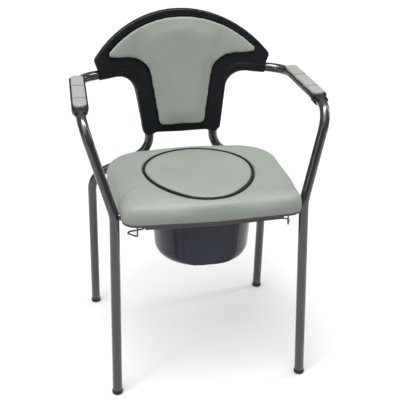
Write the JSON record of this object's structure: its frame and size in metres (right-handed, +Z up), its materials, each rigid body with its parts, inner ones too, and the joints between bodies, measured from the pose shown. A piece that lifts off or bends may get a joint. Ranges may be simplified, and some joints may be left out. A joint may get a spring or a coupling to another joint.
{
  "type": "commode chair",
  "caption": "Tubular commode armchair with a padded seat, lift-out round plug over a sliding pan, arched padded backrest and padded armrests.",
  "frame": {"origin": "on the floor, at the middle of the chair's width and depth", "axes": "+Z up; the sitter faces -Y; +X is the sitter's left-hand side, on the right as seen from the front"},
  "size_m": [0.57, 0.4867, 0.7997],
  "materials": {
    "frame_paint": "dark grey textured epoxy coat",
    "foot_plastic": "matte black",
    "shell_plastic": "satin black, fine grain",
    "board_wood": "raw plywood",
    "vinyl": "sage grey grained vinyl",
    "board_plastic": "matte black",
    "liner_plastic": "smooth black",
    "piping": "black cord",
    "arm_base_plastic": "black grained",
    "arm_foam": "grey green skinned foam",
    "pan_plastic": "glossy blue black",
    "wire_paint": "dark grey coat",
    "clip_plastic": "matte black",
    "screw_steel": "zinc plated"
  },
  "bodies": {
    "chair": {"left_side_tube": "frame_paint", "right_side_tube": "frame_paint", "front_cross_tube": "frame_paint", "rear_cross_tube": "frame_paint", "left_seat_rail": "frame_paint", "right_seat_rail": "frame_paint", "front_left_foot": "foot_plastic", "front_right_foot": "foot_plastic", "rear_left_foot": "foot_plastic", "rear_right_foot": "foot_plastic", "backrest_frame": "shell_plastic", "backrest_rear_cover": "shell_plastic", "backrest_board": "board_wood", "backrest_pad": "vinyl", "backrest_screws": "screw_steel", "seat_base": "board_plastic", "seat_cushion": "vinyl", "seat_liner": "liner_plastic", "seat_screws": "screw_steel", "left_arm_base": "arm_base_plastic", "left_arm_pad": "arm_foam", "right_arm_base": "arm_base_plastic", "right_arm_pad": "arm_foam", "arm_screws": "screw_steel", "left_pan_rail": "wire_paint", "right_pan_rail": "wire_paint", "rail_clips": "clip_plastic"},
    "plug": {"plug_board": "board_plastic", "plug_cushion": "vinyl", "plug_piping": "piping"},
    "pan": {"pan": "pan_plastic"}
  },
  "joints": [
    {"name": "plug_lift", "type": "slide", "parent": "chair", "child": "plug", "axis": [0, 0, 1], "range_m": [0, 0.12]},
    {"name": "pan_slide", "type": "slide", "parent": "chair", "child": "pan", "axis": [0, -1, 0], "range_m": [0, 0.26]}
  ]
}
